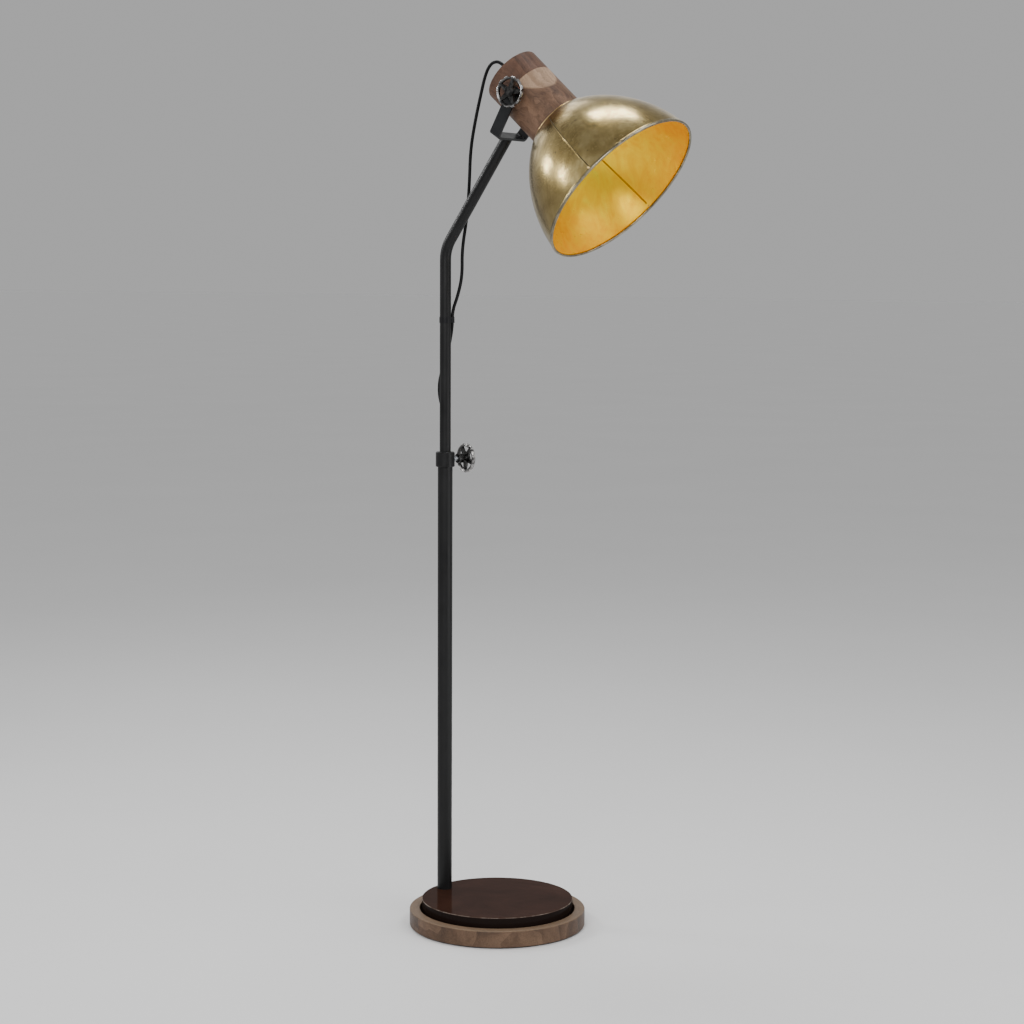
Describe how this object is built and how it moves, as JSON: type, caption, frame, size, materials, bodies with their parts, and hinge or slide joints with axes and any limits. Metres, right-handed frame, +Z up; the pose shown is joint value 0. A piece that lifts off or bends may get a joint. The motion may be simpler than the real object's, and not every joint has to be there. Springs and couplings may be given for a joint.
{
  "type": "adjustable arm floor lamp",
  "caption": "Floor lamp with a weighted round base, a clamped telescopic pole with a leaning arm, and a tilting wood head with a spun brass dome shade.",
  "frame": {"origin": "centre of the round base's underside, on the floor", "axes": "+Z up; +X from the pole towards the base's centre, the way the arm leans; +Y completes the right-handed frame"},
  "size_m": [0.5135, 0.3777, 1.4728],
  "materials": {
    "felt": "dark grey pressed felt",
    "base_wood": "waxed mango wood, worn",
    "iron": "rough cast, painted",
    "base_paint": "brown-black satin enamel",
    "black_coat": "satin black powder coat",
    "steel": "zinc plated",
    "nylon": "natural nylon",
    "black_plastic": "black nylon",
    "dark_wood": "oiled mango heartwood",
    "light_wood": "oiled mango wood with light sapwood",
    "dowel_wood": "birch dowel",
    "plain_brass": "turned brass",
    "fibre": "red vulcanised fibre",
    "aged_brass": "brushed antique brass",
    "ceramic": "glazed white ceramic",
    "core_plastic": "insulated cores",
    "bulb_glass": "frosted glass",
    "cast_pewter": "die cast, dark pewter finish",
    "cord_sheath": "black flexible sheath",
    "gloss_black": "moulded black"
  },
  "bodies": {
    "base": {"floor_pad": "felt", "wood_base": "base_wood", "ballast": "iron", "base_cover": "base_paint", "base_screws": "steel", "pole_bolt": "steel", "pole_washer": "steel", "pole_foot": "black_coat", "lower_tube": "black_coat", "clamp_collar": "black_coat", "cord_fall": "cord_sheath", "cord_floor": "cord_sheath", "cord_lead": "cord_sheath", "cord_tail": "cord_sheath", "cord_coil": "cord_sheath", "switch_base": "gloss_black", "switch_cover": "gloss_black", "plug_body": "gloss_black", "plug_pins": "plain_brass"},
    "guide": {"guide_bush": "nylon", "cord_riser": "cord_sheath"},
    "mast": {"upper_tube": "black_coat", "mast_glide": "nylon", "yoke": "black_coat", "cable_clip": "black_plastic", "cord_head": "cord_sheath"},
    "head": {"wood_back": "dark_wood", "wood_front": "light_wood", "block_dowels": "dowel_wood", "pivot_inserts": "plain_brass", "friction_washers": "fibre", "shade": "aged_brass", "shade_seam": "aged_brass", "rim_wire": "steel", "shade_screws": "plain_brass", "holder_body": "ceramic", "holder_shell": "plain_brass", "holder_contact": "plain_brass", "nipple": "plain_brass", "nipple_nut": "plain_brass", "cord_gland": "black_plastic", "core_wires": "core_plastic", "bulb_cap": "plain_brass", "bulb_glass": "bulb_glass"},
    "near_knob": {"near_wheel": "cast_pewter", "near_stud": "steel"},
    "far_knob": {"far_wheel": "cast_pewter", "far_stud": "steel"},
    "collar_knob": {"collar_wheel": "cast_pewter", "collar_stud": "steel", "pressure_pad": "plain_brass"},
    "rocker": {"switch_rocker": "gloss_black"}
  },
  "joints": [
    {"name": "mast_swivel", "type": "hinge", "parent": "base", "child": "guide", "pos_m": [-0.1085, 0, 0.795], "axis": [0, 0, 1], "range_deg": [-25, 110], "deforming": ["cord_fall"]},
    {"name": "mast_slide", "type": "slide", "parent": "guide", "child": "mast", "axis": [0, 0, 1], "range_m": [-0.17, 0.12], "deforming": ["cord_riser"]},
    {"name": "head_tilt", "type": "hinge", "parent": "mast", "child": "head", "pos_m": [0.05978, 0, 1.40317], "axis": [0, 1, 0], "range_deg": [-50, 30], "deforming": ["cord_head"]},
    {"name": "near_wheel_turn", "type": "hinge", "parent": "head", "child": "near_knob", "pos_m": [0.05978, -0.066, 1.40317], "axis": [0, -1, 0], "range_deg": [0, 360]},
    {"name": "far_wheel_turn", "type": "hinge", "parent": "head", "child": "far_knob", "pos_m": [0.05978, 0.066, 1.40317], "axis": [0, 1, 0], "range_deg": [0, 360]},
    {"name": "collar_wheel_turn", "type": "hinge", "parent": "base", "child": "collar_knob", "pos_m": [-0.09202, 0.0408, 0.7955], "axis": [0.3746, 0.9272, 0], "range_deg": [0, 360]},
    {"name": "switch_rock", "type": "hinge", "parent": "base", "child": "rocker", "pos_m": [-0.10812, 0.13526, 0.0134], "axis": [-0.5299, 0.848, 0], "range_deg": [0, 12]}
  ]
}
